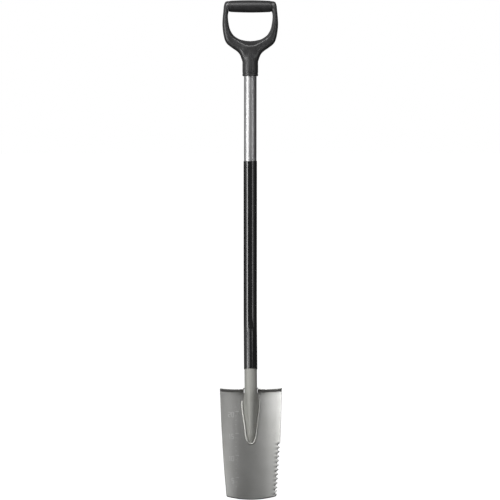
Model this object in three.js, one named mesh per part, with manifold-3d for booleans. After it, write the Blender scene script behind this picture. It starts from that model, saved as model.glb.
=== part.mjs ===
// A long-handled garden spade: a moulded D-handle, a two-piece tube shaft under a plastic sleeve, and a narrow
// dished blade with one serrated edge and two forward-turned foot treads.
// Millimetres. +Z is up, the front (the dished side of the blade) faces -Y and the serrated edge is at +X.
// The origin is on the ground under the middle of the tool's outer box.

import * as THREE from "three";
import { mergeVertices } from "three/addons/utils/BufferGeometryUtils.js";
import Module from "manifold-3d";

const wasm = await Module();
wasm.setup();

// ---------------------------------------------------------------- driving dimensions

const TOTAL_HEIGHT = 1131;
const CLEARANCE = 0.3; // between pieces that touch on the real tool

// Shaft. Its stations are heights above the ground, measured along the shaft as if it were straightened.
const TUBE_RADIUS = 14.5;
const TUBE_WALL = 1.5;
const TUBE_SIDES = 28;
const BEND_TOP = 438;
const BEND_RADIUS = 230;
const LIFT_ANGLE = THREE.MathUtils.degToRad(18); // how far the blade leans forward of the shaft
const TUBE_JOINT = 560;
const SLEEVE_BOTTOM = 281.5;
const SLEEVE_TOP = 766;
const SLEEVE_RADIUS = 15.5;
const SLEEVE_WALL = 0.7;
const SPIGOT_WALL = 2.2;
const SPIGOT_LENGTH = 120;
const PIN_RADIUS = 2.5;
const PIN_FROM_JOINT = 30;

// Blade, in the head's frame: z runs up from the tip of the cutting edge, and y = 0 is the shaft's axis.
const SHEET = 2;
const BLADE_LENGTH = 250;
const HALF_WIDTH_TOP = 71.5;
const HALF_WIDTH_BOTTOM = 57.2;
const SIDE_BULGE = 1.7;
const DISH_RADIUS = 180;
const EDGE_RISE = 7.4; // how far the corners of the cutting edge stand above its middle
const EDGE_RISE_FADES = 128;
const EDGE_THICKNESS = 0.8;
const FOLD_RADIUS = 3; // inside the fold of the treads
const TREAD_DEPTH = 15;
const TREAD_FOLD = THREE.MathUtils.degToRad(80); // a little short of square, so the treads rise to the front
const TREAD_RISE = 1.6; // how far a tread curls up at its two ends
const TREAD_MIDDLE = 44;
const TREAD_FLAT = 9; // half the length of a tread's flat stretch
const TREAD_GAP = 15.8; // half the gap between the treads, where the shaft passes
const TOOTH_COUNT = 12;
const TOOTH_PITCH = 10.6;
const TOOTH_DEPTH = 5;
const WELD_RADIUS = 1.9;
const WELD_TOP = 225;
const TREAD_WELD_RADIUS = 1.4;

// Handle, in its own frame: z = 0 is just above the mouth of the socket.
const HANDLE_HEIGHT = 170.7;
const MOUTH_DROP = 0.7;
const SOCKET_RADIUS = 18;
const SOCKET_DEPTH = 54;
const CORE_RADIUS = 8.5; // of the crossbar inside the soft grip
const GRIP_HALF_LENGTH = 49.4;
const GRIP_END_RADIUS = 12;
const GRIP_MIDDLE_RADIUS = 13.9;
const SCREW_HEIGHT = 30;
const SCREW_RADIUS = 2;
const SCREW_HEAD_RADIUS = 4;

// ---------------------------------------------------------------- materials

const finish = (color, roughness, metalness) => new THREE.MeshStandardMaterial({ color, roughness, metalness });
const bladeSteel = finish(0x8f8f8c, 0.38, 0.9);
const shaftPaint = finish(0x93948b, 0.5, 0.35);
const weldSteel = finish(0xa3a49a, 0.42, 0.6);
const aluminium = finish(0xb9b9b7, 0.3, 0.95);
const sleevePlastic = finish(0x1b1b1b, 0.28, 0);
const handlePlastic = finish(0x262626, 0.45, 0);
const gripRubber = finish(0x2b2b2b, 0.6, 0);
const fastenerSteel = finish(0x9a9a98, 0.35, 0.9);

// ---------------------------------------------------------------- helpers

const { lerp, clamp } = THREE.MathUtils;

// Evenly spaced numbers from a to b, both included.
const spread = (a, b, count) => Array.from({ length: count }, (_, i) => lerp(a, b, i / (count - 1)));

// Moves every vertex of a geometry to where place() puts it.
function warp(geometry, place) {
  const position = geometry.attributes.position;
  const point = new THREE.Vector3();
  for (let i = 0; i < position.count; i++) {
    place(point.fromBufferAttribute(position, i));
    position.setXYZ(i, point.x, point.y, point.z);
  }
  return geometry;
}

// A closed geometry as a solid that can be joined and cut, and back.
function solidOf(geometry) {
  const bare = geometry.clone();
  bare.deleteAttribute("normal");
  bare.deleteAttribute("uv");
  const merged = mergeVertices(bare, 1e-3);
  const vertProperties = merged.attributes.position.array;
  const triVerts = new Uint32Array(merged.index.array);
  return new wasm.Manifold(new wasm.Mesh({ numProp: 3, vertProperties, triVerts }));
}

function geometryOf(solid) {
  const { vertProperties, triVerts } = solid.getMesh();
  const geometry = new THREE.BufferGeometry();
  geometry.setAttribute("position", new THREE.BufferAttribute(vertProperties, 3));
  geometry.setIndex(new THREE.BufferAttribute(triVerts, 1));
  geometry.computeVertexNormals();
  return geometry;
}

function named(name, geometry, material, parent) {
  const mesh = new THREE.Mesh(geometry, material);
  mesh.name = name;
  parent.add(mesh);
  return mesh;
}

// A smooth curve through rows of [station, value, value, ...], read with at(station).
function smoothThrough(rows) {
  const stations = rows.map((row) => row[0]);
  const values = rows.flatMap((row) => row.slice(1));
  const curve = new THREE.CubicInterpolant(stations, values, rows[0].length - 1);
  return (station) => [...curve.evaluate(station)];
}

// A solid of revolution about Z. The profile is a list of [radius, height] that runs up the outside.
function turned(profile, sides = TUBE_SIDES) {
  const points = [...profile, profile[0]].map(([radius, height]) => new THREE.Vector2(radius, height));
  return new THREE.LatheGeometry(points, sides).rotateX(Math.PI / 2);
}

// A pipe about Z with a ring of vertices at each height.
function pipe(inner, outer, heights) {
  const outside = heights.map((height) => [outer, height]);
  const inside = heights.map((height) => [inner, height]).reverse();
  return turned([...outside, ...inside]);
}

// A rod along Y between two depths, at a height up the shaft.
function crossRod(radius, from, to, height) {
  return new THREE.CylinderGeometry(radius, radius, to - from, 16).translate(0, (from + to) / 2, height);
}

// ---------------------------------------------------------------- the shaft's line

const BEND_BOTTOM = BEND_TOP - BEND_RADIUS * LIFT_ANGLE;
const FACE_DEPTH = TUBE_RADIUS + CLEARANCE; // the blade's front face lies this far behind the shaft's axis
const bendDrop = BEND_RADIUS * Math.sin(LIFT_ANGLE);
const backOfTip = (FACE_DEPTH + SHEET) * Math.sin(LIFT_ANGLE);
const TIP = BEND_BOTTOM - (BEND_TOP - bendDrop - backOfTip) / Math.cos(LIFT_ANGLE); // puts the tip on the ground

// Bends what was made about the straightened shaft: straight above the bend, round it, and straight below.
function bent(geometry) {
  return warp(geometry, (point) => {
    const angle = clamp((BEND_TOP - point.z) / BEND_RADIUS, 0, LIFT_ANGLE);
    const above = Math.max(0, point.z - BEND_TOP);
    const below = Math.min(0, point.z - BEND_BOTTOM);
    const reach = BEND_RADIUS + point.y;
    const y = reach * Math.cos(angle) - BEND_RADIUS + below * Math.sin(angle);
    const z = BEND_TOP - reach * Math.sin(angle) + below * Math.cos(angle) + above;
    point.set(point.x, y, z);
  });
}

const bendHeights = spread(BEND_BOTTOM, BEND_TOP, 7);

// ---------------------------------------------------------------- blade

// How far the dished sheet stands forward of its spine at a distance x from the middle.
const dish = (x) => DISH_RADIUS - Math.sqrt(DISH_RADIUS ** 2 - x ** 2);

function halfWidth(z) {
  const share = z / BLADE_LENGTH;
  return lerp(HALF_WIDTH_BOTTOM, HALF_WIDTH_TOP, share) + 4 * SIDE_BULGE * share * (1 - share);
}

// The sheet's stations from the cutting edge up its flat part, round the fold and out along the treads.
// cut is how much of a tooth's depth is missing from the serrated edge.
const TREAD_REACH = TREAD_DEPTH - FOLD_RADIUS;
const FOLD_TOP = (SHEET + FOLD_RADIUS) * Math.sin(TREAD_FOLD);
const FOLD_START = BLADE_LENGTH - FOLD_TOP - TREAD_REACH * Math.cos(TREAD_FOLD);
const TEETH_TOP = TOOTH_COUNT * TOOTH_PITCH;
const teeth = spread(0, TEETH_TOP - TOOTH_PITCH, TOOTH_COUNT).flatMap((start) => [
  { z: start, cut: 0 },
  { z: start + 0.38 * TOOTH_PITCH, cut: 1 },
  { z: start + 0.62 * TOOTH_PITCH, cut: 1 },
]);
const plainEdge = [TEETH_TOP, ...spread(TEETH_TOP + 20, FOLD_START, 5)].map((z) => ({ z, cut: 0 }));
const fold = [0.2, 0.4, 0.6, 0.8, 1].map((turn) => ({ z: FOLD_START, cut: 0, turn }));
const treadFront = { z: FOLD_START, cut: 0, turn: 1, reach: TREAD_REACH };
const sheetStations = [...teeth, ...plainEdge, ...fold, treadFront];
const sheetShares = [-1, ...spread(-0.85, 0.85, 11), 1];

// How far a tread stands above its flat stretch at a distance x from the middle of the blade.
function treadRise(x) {
  const share = (Math.abs(Math.abs(x) - TREAD_MIDDLE) - TREAD_FLAT) / (HALF_WIDTH_TOP - TREAD_MIDDLE - TREAD_FLAT);
  return TREAD_RISE * clamp(share, 0, 1) ** 2;
}

// A flat grid with two skins, laid over the dish, cut to the blade's outline and folded forward at the top.
function foldedSheet() {
  const across = sheetShares.length - 1;
  const up = sheetStations.length - 1;
  return warp(new THREE.BoxGeometry(1, 1, 1, across, 1, up), (point) => {
    const share = sheetShares[Math.round((point.x + 0.5) * across)];
    const { z, cut, turn = 0, reach = 0 } = sheetStations[Math.round((point.z + 0.5) * up)];
    const missing = share === 1 ? cut * TOOTH_DEPTH : 0;
    const x = share * halfWidth(z) - missing;
    const rise = EDGE_RISE * share ** 2 * Math.max(0, 1 - z / EDGE_RISE_FADES);
    const ground = point.y < 0 && z === 0 ? SHEET - EDGE_THICKNESS : 0;
    const radius = FOLD_RADIUS + (point.y > 0 ? SHEET : 0);
    const angle = turn * TREAD_FOLD;
    const forward = FOLD_RADIUS - radius * Math.cos(angle) + reach * Math.sin(angle);
    const folded = radius * Math.sin(angle) + reach * Math.cos(angle) + turn * treadRise(x);
    point.set(x, FACE_DEPTH - dish(x) - forward + ground, z + rise + folded);
  });
}

// The notch between the treads, where the shaft lies against the sheet.
function treadNotch() {
  const depth = 3 * TREAD_DEPTH;
  const height = 3 * TREAD_DEPTH;
  const notch = new THREE.BoxGeometry(2 * TREAD_GAP, depth, height);
  return notch.translate(0, FACE_DEPTH + CLEARANCE - depth / 2, FOLD_START + height / 2);
}

const bladeGeometry = () => geometryOf(solidOf(foldedSheet()).subtract(solidOf(treadNotch())));

// ---------------------------------------------------------------- lower shaft

// The tube's end is pressed on to the blade: a dome with a thin wing along each side.
// Rows of height above the tip, reach of the wings, half width of the dome, and the depths of the section in
// front of its widest line and behind it.
const pressedEnd = smoothThrough([
  [129, 3, 2.2, 1.2, 0.5],
  [134, 6.2, 5, 3.6, 0.6],
  [142, 8.6, 7.2, 7.6, 0.8],
  [157, 10.6, 9, 11.6, 1],
  [171, 12.2, 9.9, 14.6, 1.2],
  [186, 14.4, 10.9, 17.4, 1.6],
  [206, 16.8, 12.4, 20.6, 2.6],
  [223, 17.6, 14, 22.4, 3.6],
  [237, 15.4, 14.3, 20.6, 8],
  [252, TUBE_RADIUS, TUBE_RADIUS, TUBE_RADIUS, TUBE_RADIUS],
]);
const PRESSED_FROM = 129;
const ROUND_FROM = 252;
const BORE_FROM = 200;

// The tube's outside, or its bore when wall is given, at a list of heights up the straightened shaft.
function shaftSkin(heights, wall = 0) {
  const steps = heights.length - 1;
  const skin = new THREE.CylinderGeometry(1, 1, 1, TUBE_SIDES, steps).rotateX(Math.PI / 2);
  return warp(skin, (point) => {
    const height = heights[Math.round((point.z + 0.5) * steps)];
    const [wing, dome, front, back] = pressedEnd(clamp(height - TIP, PRESSED_FROM, ROUND_FROM));
    const onWing = Math.abs(point.x) > 0.999;
    const width = onWing && wall === 0 ? wing : dome - wall;
    const depth = point.y < 0 ? front - wall : Math.max(0.5, back - wall);
    point.set(point.x * width, TUBE_RADIUS - back + point.y * depth, height);
  });
}

function lowerShaftGeometry() {
  const pressed = spread(TIP + PRESSED_FROM, TIP + ROUND_FROM, 13);
  const outside = shaftSkin([...pressed, ...bendHeights, TUBE_JOINT - CLEARANCE / 2]);
  const boreHeights = [...spread(TIP + BORE_FROM, TIP + ROUND_FROM, 4), ...bendHeights, TUBE_JOINT + 1];
  const bore = shaftSkin(boreHeights, TUBE_WALL);
  const tube = solidOf(bent(outside)).subtract(solidOf(bent(bore)));
  return geometryOf(tube.subtract(solidOf(pinHole(TUBE_JOINT - PIN_FROM_JOINT))));
}

// ---------------------------------------------------------------- weld

// A U-shaped bead that runs down one side of the pressed end, round its tip and up the other side.
function weldGeometry() {
  const stand = WELD_RADIUS + CLEARANCE;
  const onBlade = (x, z) => new THREE.Vector3(x, FACE_DEPTH - dish(x) - stand, z);
  const side = spread(WELD_TOP, 133, 8).map((z) => onBlade(pressedEnd(z)[0] + stand + CLEARANCE, z));
  side.push(onBlade(4.8, PRESSED_FROM - 1.3));
  const tip = onBlade(0, PRESSED_FROM - stand - CLEARANCE);
  const otherSide = side.map((point) => onBlade(-point.x, point.z)).reverse();
  const extrudePath = new THREE.CatmullRomCurve3([...side, tip, ...otherSide]);
  const section = new THREE.Shape().absarc(0, 0, WELD_RADIUS, 0, 2 * Math.PI);
  return new THREE.ExtrudeGeometry(section, { extrudePath, steps: 72, curveSegments: 4 });
}

// A short bead on top of one tread, against the side of the shaft. side is -1 on the left, 1 on the right.
function treadWeldGeometry(side) {
  const round = TUBE_RADIUS + 3 * CLEARANCE + TREAD_WELD_RADIUS;
  const front = BLADE_LENGTH + TREAD_RISE + CLEARANCE + TREAD_WELD_RADIUS;
  const points = spread(0.12, 0.78, 5).map((angle) => {
    const y = round * Math.sin(angle);
    return new THREE.Vector3(side * round * Math.cos(angle), y, front - y / Math.tan(TREAD_FOLD));
  });
  const section = new THREE.Shape().absarc(0, 0, TREAD_WELD_RADIUS, 0, 2 * Math.PI);
  const extrudePath = new THREE.CatmullRomCurve3(points);
  return new THREE.ExtrudeGeometry(section, { extrudePath, steps: 8, curveSegments: 4 });
}

// ---------------------------------------------------------------- upper shaft, joint and sleeve

const HANDLE_BASE = TOTAL_HEIGHT - HANDLE_HEIGHT;
const pinHole = (height) => crossRod(PIN_RADIUS + CLEARANCE, -2 * TUBE_RADIUS, 2 * TUBE_RADIUS, height);
const screwHole = (height) => crossRod(SCREW_RADIUS + CLEARANCE, TUBE_RADIUS / 2, 2 * TUBE_RADIUS, height);

function upperShaftGeometry() {
  const top = HANDLE_BASE + SOCKET_DEPTH - 1;
  const tube = solidOf(pipe(TUBE_RADIUS - TUBE_WALL, TUBE_RADIUS, [TUBE_JOINT + CLEARANCE / 2, top]));
  const drilled = tube.subtract(solidOf(pinHole(TUBE_JOINT + PIN_FROM_JOINT)));
  return geometryOf(drilled.subtract(solidOf(screwHole(HANDLE_BASE + SCREW_HEIGHT))));
}

function spigotGeometry() {
  const outer = TUBE_RADIUS - TUBE_WALL - CLEARANCE;
  const ends = [TUBE_JOINT - SPIGOT_LENGTH / 2, TUBE_JOINT + SPIGOT_LENGTH / 2];
  const lowerHole = solidOf(pinHole(TUBE_JOINT - PIN_FROM_JOINT));
  const upperHole = solidOf(pinHole(TUBE_JOINT + PIN_FROM_JOINT));
  return geometryOf(solidOf(pipe(outer - SPIGOT_WALL, outer, ends)).subtract(lowerHole).subtract(upperHole));
}

function pinGeometry(height) {
  const half = TUBE_RADIUS - CLEARANCE;
  return crossRod(PIN_RADIUS, -half, half, height);
}

function sleeveGeometry() {
  const heights = [SLEEVE_BOTTOM, ...bendHeights, SLEEVE_TOP];
  return bent(pipe(SLEEVE_RADIUS - SLEEVE_WALL, SLEEVE_RADIUS, heights));
}

// ---------------------------------------------------------------- handle

const CROSSBAR_HEIGHT = HANDLE_HEIGHT - GRIP_MIDDLE_RADIUS;

// Half of the D, from the middle of the yoke at the bottom to the middle of the crossbar at the top.
// Rows of step, outer x, outer z, inner x, inner z and half depth from front to back.
const halfD = smoothThrough([
  [0, 0, 29, 0, 79.3, 16.5],
  [1, 17.9, 33.8, 8.8, 79.9, 16],
  [2, 22.9, 46.4, 16.6, 81.3, 14.9],
  [3, 31.2, 55.8, 24.3, 83.4, 13.8],
  [4, 43.3, 64.3, 32.1, 87.7, 12.9],
  [5, 53.6, 73, 38.5, 93, 12.9],
  [6, 58.9, 83.6, 42.6, 98.9, 12.9],
  [7, 62.3, 100.5, 46.4, 106.8, 12.9],
  [8, 63.6, 116.5, 48.7, 116.9, 12.9],
  [9, 62.9, 131.4, 50.4, 129.4, 12.9],
  [10, 61.4, 145.9, 50.4, 138.6, 12.9],
  [11, 59.4, 161, 49.3, 144, 12.7],
  [12, 53, 168.3, 45.8, 144.8, 12.1],
  [13, 26.5, 168.8, 26.5, 144.8, 12.1],
  [14, 0, 168.8, 0, 144.8, 12.1],
]);
const D_STEPS = 14;
const SQUARENESS = 0.9; // 1 gives the D an elliptic section, and less makes it squarer

// A ring drawn out to the D's outline, with a rounded section.
function dRing() {
  const squarer = (value) => Math.sign(value) * Math.abs(value) ** SQUARENESS;
  const ring = new THREE.TorusGeometry(2, 1, 14, 4 * D_STEPS);
  return warp(ring, (point) => {
    const around = Math.atan2(point.x, -point.y);
    const outward = squarer(Math.hypot(point.x, point.y) - 2);
    const [outerX, outerZ, innerX, innerZ, depth] = halfD((Math.abs(around) / Math.PI) * D_STEPS);
    const share = (1 + outward) / 2;
    point.set(
      Math.sign(around) * lerp(innerX, outerX, share),
      -depth * squarer(point.z),
      lerp(innerZ, outerZ, share),
    );
  });
}

// The neck below the D: a round socket with a shallow groove near its mouth and a domed top inside the yoke.
function neck() {
  const groove = [
    [SOCKET_RADIUS, 4],
    [SOCKET_RADIUS - 0.6, 4.6],
    [SOCKET_RADIUS - 0.6, 5.8],
    [SOCKET_RADIUS, 6.4],
  ];
  const dome = [
    [SOCKET_RADIUS, 38],
    [SOCKET_RADIUS - 0.3, 48],
    [SOCKET_RADIUS - 1.4, 57],
    [SOCKET_RADIUS - 4.8, 65.5],
    [SOCKET_RADIUS - 10, 71],
    [0, 74],
  ];
  const mouth = [
    [0, -MOUTH_DROP],
    [SOCKET_RADIUS - 1.5, -MOUTH_DROP],
    [SOCKET_RADIUS, 1.5 - MOUTH_DROP],
  ];
  return turned([...mouth, ...groove, ...dome]);
}

function handleBodyGeometry() {
  const socket = pipe(0, TUBE_RADIUS + CLEARANCE, [-MOUTH_DROP - 1, SOCKET_DEPTH]);
  const gripSeat = pipe(CORE_RADIUS, 2 * GRIP_MIDDLE_RADIUS, [-GRIP_HALF_LENGTH, GRIP_HALF_LENGTH]);
  gripSeat.rotateY(Math.PI / 2).translate(0, 0, CROSSBAR_HEIGHT);
  const cuts = [socket, gripSeat, screwHole(SCREW_HEIGHT)];
  const whole = solidOf(dRing()).add(solidOf(neck()));
  return geometryOf(cuts.reduce((body, cut) => body.subtract(solidOf(cut)), whole));
}

// The soft grip: a barrel, thickest in the middle of the crossbar.
function gripGeometry() {
  const half = GRIP_HALF_LENGTH - CLEARANCE;
  const swell = (x) => lerp(GRIP_MIDDLE_RADIUS, GRIP_END_RADIUS, (x / half) ** 2);
  const outside = spread(-half, half, 13).map((x) => [swell(x), x]);
  const inside = [half, -half].map((x) => [CORE_RADIUS + CLEARANCE, x]);
  return turned([...outside, ...inside]).rotateY(Math.PI / 2).translate(0, 0, CROSSBAR_HEIGHT);
}

// A pan-head screw through the back of the socket and the tube's wall.
function screwGeometry() {
  const under = SOCKET_RADIUS + CLEARANCE;
  const profile = [
    [0, under - 8],
    [SCREW_RADIUS, under - 7],
    [SCREW_RADIUS, under],
    [SCREW_HEAD_RADIUS, under],
    [SCREW_HEAD_RADIUS, under + 1],
    [SCREW_HEAD_RADIUS - 1.2, under + 2.1],
    [0, under + 2.4],
  ];
  return turned(profile, 16).rotateX(-Math.PI / 2).translate(0, 0, SCREW_HEIGHT);
}

// ---------------------------------------------------------------- assembly

const spade = new THREE.Group();

// The head leans forward with the lower end of the shaft.
const head = new THREE.Group();
const tipAxis = bent(new THREE.BufferGeometry().setFromPoints([new THREE.Vector3(0, 0, TIP)]));
head.position.fromBufferAttribute(tipAxis.attributes.position, 0);
head.rotation.x = -LIFT_ANGLE;
spade.add(head);
named("blade", bladeGeometry(), bladeSteel, head);
named("weld_bead", weldGeometry(), weldSteel, head);
named("left_tread_weld", treadWeldGeometry(-1), weldSteel, head);
named("right_tread_weld", treadWeldGeometry(1), weldSteel, head);

named("lower_shaft", lowerShaftGeometry(), shaftPaint, spade);
named("upper_shaft", upperShaftGeometry(), aluminium, spade);
named("shaft_sleeve", sleeveGeometry(), sleevePlastic, spade);
named("joint_spigot", spigotGeometry(), fastenerSteel, spade);
named("lower_joint_pin", pinGeometry(TUBE_JOINT - PIN_FROM_JOINT), fastenerSteel, spade);
named("upper_joint_pin", pinGeometry(TUBE_JOINT + PIN_FROM_JOINT), fastenerSteel, spade);

const handle = new THREE.Group();
handle.position.z = HANDLE_BASE;
spade.add(handle);
named("handle_body", handleBodyGeometry(), handlePlastic, handle);
named("crossbar_grip", gripGeometry(), gripRubber, handle);
named("handle_screw", screwGeometry(), fastenerSteel, handle);

// The middle of the outer box goes over the origin.
const box = new THREE.Box3().setFromObject(spade, true);
spade.position.y = -(box.min.y + box.max.y) / 2;

export default spade;
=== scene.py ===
"""A garden spade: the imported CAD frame, with every visible piece rebuilt as a fine mesh.

Shapes are worked out in millimetres in the shaft's own frame and turned into metres where a mesh is made.
"""

import math

import bmesh
import bpy
import numpy as np
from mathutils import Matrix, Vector, noise


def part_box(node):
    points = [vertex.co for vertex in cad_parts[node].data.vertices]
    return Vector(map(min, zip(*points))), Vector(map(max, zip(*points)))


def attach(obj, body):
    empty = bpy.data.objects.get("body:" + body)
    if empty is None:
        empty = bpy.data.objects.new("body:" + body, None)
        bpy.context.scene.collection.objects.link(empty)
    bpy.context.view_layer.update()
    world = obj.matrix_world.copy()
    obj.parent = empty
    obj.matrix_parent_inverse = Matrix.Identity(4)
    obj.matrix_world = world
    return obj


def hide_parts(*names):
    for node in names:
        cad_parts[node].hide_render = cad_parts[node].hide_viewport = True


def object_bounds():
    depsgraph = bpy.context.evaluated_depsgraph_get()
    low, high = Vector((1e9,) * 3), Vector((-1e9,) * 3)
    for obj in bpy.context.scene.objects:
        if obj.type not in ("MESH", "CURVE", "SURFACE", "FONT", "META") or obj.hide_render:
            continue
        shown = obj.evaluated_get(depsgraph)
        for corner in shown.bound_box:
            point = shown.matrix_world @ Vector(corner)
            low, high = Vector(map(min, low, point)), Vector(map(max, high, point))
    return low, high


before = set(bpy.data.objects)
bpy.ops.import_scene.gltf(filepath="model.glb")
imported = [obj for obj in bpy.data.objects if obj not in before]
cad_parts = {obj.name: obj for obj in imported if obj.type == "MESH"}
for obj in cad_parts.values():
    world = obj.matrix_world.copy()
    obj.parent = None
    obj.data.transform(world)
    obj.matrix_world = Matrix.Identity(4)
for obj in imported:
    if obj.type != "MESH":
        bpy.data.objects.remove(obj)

CAD_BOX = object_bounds()
MM = 0.001  # one millimetre, in metres

# ---------------------------------------------------------------- dimensions, in millimetres

TUBE_RADIUS = 14.5
TUBE_SIDES = 96
NEAR_AXIS = 0.01  # the radius of a ring that a cap closes on the axis
TUBE_WALL = 1.5
TUBE_RIM = 0.4
CLEARANCE = 0.3
BEND_TOP = 438.0
BEND_RADIUS = 230.0
LIFT_ANGLE = math.radians(18)
SLEEVE_BOTTOM = 281.5
SLEEVE_RADIUS = 15.5
SLEEVE_WALL = 0.7
SLEEVE_RIM = 0.3

SHEET = 2.0
BLADE_LENGTH = 250.0
HALF_WIDTH_TOP = 71.5
HALF_WIDTH_BOTTOM = 57.2
SIDE_BULGE = 1.7
DISH_RADIUS = 180.0
EDGE_RISE = 7.4
EDGE_RISE_FADES = 128.0
EDGE_THICKNESS = 0.6
EDGE_BEVEL = 2.6
FOLD_RADIUS = 3.0
TREAD_DEPTH = 15.0
TREAD_FOLD = math.radians(80)
TREAD_RISE = 1.6
TREAD_MIDDLE = 44.0
TREAD_FLAT = 9.0
HALF_GAP = 15.8  # between the treads
TREAD_CORNER = 3.0
TOOTH_COUNT = 12
TOOTH_PITCH = 10.6
TOOTH_DEPTH = 5.0
TOOTH_SHARPNESS = 0.55
TOOTH_BEVEL = 2.4
HOLLOW_GRIND = 0.45
GRIND_AT_POINTS = 10.0
GRIND_AT_GULLETS = 13.0
PAINTED_SHADE_BORDER = 8.0  # how sharply the painted shade on a fine bevel begins
TOOTHED_ZONE = 15.0
PLAIN_CORNER = 2.5
TOOTHED_CORNER = 5.0
CORNER_FADES = 20.0
RIM_RADIUS = 0.7

WELD_RADIUS = 1.9
WELD_TOP = 225.0
WELD_TURN = 133.0  # where the weld leaves the pressed end's sides to go round it
WELD_RIPPLE = 1.7
WELD_TROUGH = 0.88  # a bead's thickness between ripples, as a share of its radius, as are the next two
WELD_UNEVENNESS = 0.07
WELD_END = 0.35
WELD_SIDES = 20
BEAD_STEP = 0.3
TREAD_WELD_RADIUS = 1.4
TREAD_WELD_FROM = 0.12  # radians round the tube from the side, as is the next
TREAD_WELD_TO = 0.78
PRESSED_FROM = 129.0
ROUND_FROM = 252.0
FLARE_SHARPNESS = 14

SOCKET_RADIUS = 18.0
SOCKET_BORE = 14.8
SOCKET_DEPTH = 54.0
MOUTH_DROP = 0.7
LIP_HEIGHT = 6.0
GROOVE_DEPTH = 0.8
MOUTH_RIM = 1.0
SOCKET_ROUND_TO = 18.0
SOCKET_BLENDED_FROM = 34.0
CORE_RADIUS = 8.5
GRIP_HALF_LENGTH = 49.1
GRIP_END_RADIUS = 12.0
GRIP_MIDDLE_RADIUS = 13.9
GRIP_LAND = 3.2
HANDLE_VOXEL = 0.9
SCREW_HEAD_RADIUS = 4.0
SCREW_HEAD_HEIGHT = 2.4
SCREW_SHANK_RADIUS = 2.0
SCREW_SIDES = 48
SCREW_DOME_END = 1.45  # in radians, just short of the top
CROSS_HALF_LENGTH = 2.3
CROSS_HALF_WIDTH = 0.45
CROSS_FLOOR = 0.9
CROSS_TAPER = 0.7

# ---------------------------------------------------------------- places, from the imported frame

socket_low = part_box("handle_body")[0]
tube_low, tube_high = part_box("upper_shaft")
sleeve_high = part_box("shaft_sleeve")[1]
SHAFT_Y = (tube_low.y + tube_high.y) / 2 / MM
HANDLE_BASE = socket_low.z / MM + MOUTH_DROP
TUBE_JOINT = tube_low.z / MM
TUBE_TOP = tube_high.z / MM
SLEEVE_TOP = sleeve_high.z / MM
GRIP_HEIGHT = CAD_BOX[1].z / MM - GRIP_MIDDLE_RADIUS

BEND_BOTTOM = BEND_TOP - BEND_RADIUS * LIFT_ANGLE
FACE_DEPTH = TUBE_RADIUS + CLEARANCE
TREAD_REACH = TREAD_DEPTH - FOLD_RADIUS
FOLD_TOP = (SHEET + FOLD_RADIUS) * math.sin(TREAD_FOLD)
FOLD_START = BLADE_LENGTH - FOLD_TOP - TREAD_REACH * math.cos(TREAD_FOLD)
TEETH_TOP = TOOTH_COUNT * TOOTH_PITCH
# TIP is the blade's tip along the straightened shaft, placed so that the bent spade stands at height 0.
TIP_AXIS_DROP = BEND_TOP - BEND_RADIUS * math.sin(LIFT_ANGLE) - (FACE_DEPTH + SHEET) * math.sin(LIFT_ANGLE)
TIP = BEND_BOTTOM - TIP_AXIS_DROP / math.cos(LIFT_ANGLE)

# ---------------------------------------------------------------- small tools


def lerp(a, b, share):
    return a + (b - a) * share


def smoothstep(low, high, value):
    share = min(1.0, max(0.0, (value - low) / (high - low)))
    return share * share * (3 - 2 * share)


def smooth_through(rows):
    """A smooth curve through rows of (station, value, value, ...), as a function of the station."""
    table = np.array(rows, float)
    stations, values = table[:, 0], table[:, 1:]
    slopes = np.gradient(values, stations, axis=0)

    def at(station):
        station = min(stations[-1], max(stations[0], station))
        i = min(len(stations) - 2, int(np.searchsorted(stations, station, side="right")) - 1)
        width = stations[i + 1] - stations[i]
        t = (station - stations[i]) / width
        start = (1 + 2 * t) * (1 - t) ** 2 * values[i] + t * (1 - t) ** 2 * width * slopes[i]
        end = t * t * (3 - 2 * t) * values[i + 1] + t * t * (t - 1) * width * slopes[i + 1]
        return start + end

    return at


def bent(x, y, z):
    """A point given about the straightened shaft, in metres in the row frame."""
    angle = min(LIFT_ANGLE, max(0.0, (BEND_TOP - z) / BEND_RADIUS))
    above = max(0.0, z - BEND_TOP)
    below = min(0.0, z - BEND_BOTTOM)
    reach = BEND_RADIUS + y
    forward = reach * math.cos(angle) - BEND_RADIUS + below * math.sin(angle)
    up = BEND_TOP - reach * math.sin(angle) + below * math.cos(angle) + above
    return Vector((x, forward + SHAFT_Y, up)) * MM


def on_head(x, y, z):
    """A point given in the blade's frame, where z runs up from the tip, in metres in the row frame."""
    return bent(x, y, z + TIP)


def on_handle(x, y, z):
    """A point given from the mouth of the handle's socket, in metres in the row frame."""
    return Vector((x, y + SHAFT_Y, z + HANDLE_BASE)) * MM


def mesh_object(name, points, faces):
    mesh = bpy.data.meshes.new(name)
    mesh.from_pydata([tuple(p) for p in points], [], faces)
    mesh.validate()
    bm = bmesh.new()
    bm.from_mesh(mesh)
    bmesh.ops.recalc_face_normals(bm, faces=bm.faces)
    bm.to_mesh(mesh)
    bm.free()
    obj = bpy.data.objects.new(name, mesh)
    bpy.context.collection.objects.link(obj)
    return obj


def lofted(name, rings, closed=False):
    """Rings of points, each closed on itself, joined one to the next. The ends are capped unless closed."""
    count = len(rings[0])
    points = [p for ring in rings for p in ring]
    spans = len(rings) if closed else len(rings) - 1
    faces = []
    for i in range(spans):
        a, b = i * count, (i + 1) % len(rings) * count
        for j in range(count):
            k = (j + 1) % count
            faces.append((a + j, a + k, b + k, b + j))
    if not closed:
        last = (len(rings) - 1) * count
        faces.append(tuple(range(count)))
        faces.append(tuple(range(last, last + count)))
    return mesh_object(name, points, faces)


def circle(radius, sides=TUBE_SIDES):
    angles = [2 * math.pi * i / sides for i in range(sides)]
    return [(radius * math.cos(angle), radius * math.sin(angle)) for angle in angles]


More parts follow.
